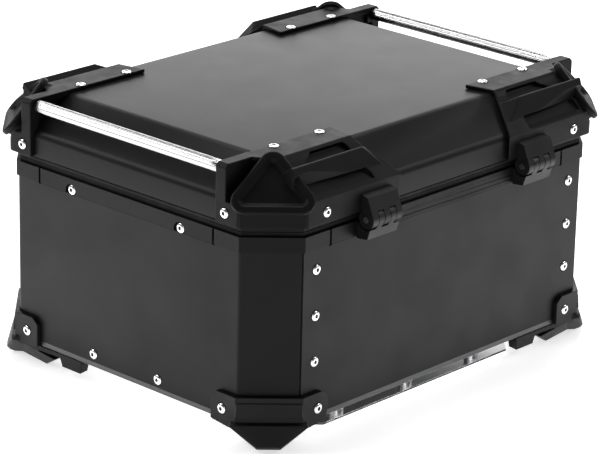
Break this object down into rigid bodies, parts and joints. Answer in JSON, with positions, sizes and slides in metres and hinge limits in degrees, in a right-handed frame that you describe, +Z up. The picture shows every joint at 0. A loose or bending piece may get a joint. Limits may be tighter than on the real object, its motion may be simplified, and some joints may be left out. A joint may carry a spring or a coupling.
{
  "type": "motorcycle top case",
  "caption": "Aluminium motorcycle top case: riveted chamfered box with feet and mounting plate, hinged lid with moulded corner brackets, tie rails and turn latch.",
  "frame": {"origin": "centre of the bounding box, on the ground plane under the feet", "axes": "+X along the long side, +Y towards the hinge side, +Z up"},
  "size_m": [0.5062, 0.424, 0.279],
  "materials": {
    "panel_coat": "satin fine-texture powder coat",
    "lid_coat": "satin fine-texture powder coat",
    "rim_coat": "satin powder coat",
    "rim_plastic": "fine-grained moulded plastic",
    "foot_plastic": "fine-grained moulded plastic",
    "bracket_plastic": "fine-grained moulded plastic",
    "hinge_black": "glass-filled moulded plastic",
    "rail_aluminium": "polished, fine lengthwise ribs",
    "pan_aluminium": "mill finish",
    "base_alloy": "mill finish with dark edge",
    "rivet_alu": "bright blind rivet",
    "steel": "zinc plated",
    "steel_black": "black plated",
    "seal_rubber": "matt black",
    "latch_plastic": "fine-grained moulded plastic",
    "latch_metal": "satin black die casting",
    "lock_chrome": "bright chrome"
  },
  "bodies": {
    "case": {"bottom_pan": "pan_aluminium", "right_end_panel": "panel_coat", "left_end_panel": "panel_coat", "rear_panel": "panel_coat", "front_panel": "panel_coat", "rim_strip_rear": "rim_coat", "rim_strip_front": "rim_coat", "rim_strip_right": "rim_coat", "rim_strip_left": "rim_coat", "rim_corner_rear_right": "rim_plastic", "rim_corner_rear_left": "rim_plastic", "rim_corner_front_right": "rim_plastic", "rim_corner_front_left": "rim_plastic", "rim_seal": "seal_rubber", "panel_rivets": "rivet_alu", "rim_rivets": "rivet_alu", "foot_rivets": "rivet_alu", "foot_rear_right": "foot_plastic", "foot_front_left": "foot_plastic", "foot_front_right": "foot_plastic", "foot_rear_left": "foot_plastic", "base_plate": "base_alloy", "base_spacers": "foot_plastic", "base_bolts": "steel", "base_nuts": "steel", "hinge_body_leaf_right": "hinge_black", "hinge_body_leaf_left": "hinge_black", "hinge_pin_right": "steel", "hinge_pin_left": "steel", "hinge_body_screws": "steel", "latch_housing": "latch_plastic", "latch_screws": "steel"},
    "lid": {"lid_shell": "lid_coat", "lid_bracket_rear_right": "bracket_plastic", "lid_bracket_rear_left": "bracket_plastic", "lid_bracket_front_right": "bracket_plastic", "lid_bracket_front_left": "bracket_plastic", "tie_rail_right": "rail_aluminium", "tie_rail_left": "rail_aluminium", "lid_wing_rivets": "rivet_alu", "lid_top_rivets": "rivet_alu", "hinge_lid_leaf_right": "hinge_black", "hinge_lid_leaf_left": "hinge_black", "hinge_lid_screws": "steel", "latch_keeper": "steel_black", "keeper_rivets": "rivet_alu"},
    "latch_rotor": {"latch_handle": "latch_metal", "latch_cam": "steel", "cam_screw": "steel"},
    "lock_barrel": {"lock_plug": "lock_chrome"}
  },
  "joints": [
    {"name": "lid_hinge", "type": "hinge", "parent": "case", "child": "lid", "pos_m": [0, 0.203, 0.2088], "axis": [-1, 0, 0], "range_deg": [0, 95]},
    {"name": "latch_turn", "type": "hinge", "parent": "case", "child": "latch_rotor", "pos_m": [0, -0.205, 0.178], "axis": [0, 1, 0], "range_deg": [0, 90]},
    {"name": "key_turn", "type": "hinge", "parent": "latch_rotor", "child": "lock_barrel", "pos_m": [0, -0.206, 0.178], "axis": [0, 1, 0], "range_deg": [0, 90]}
  ]
}
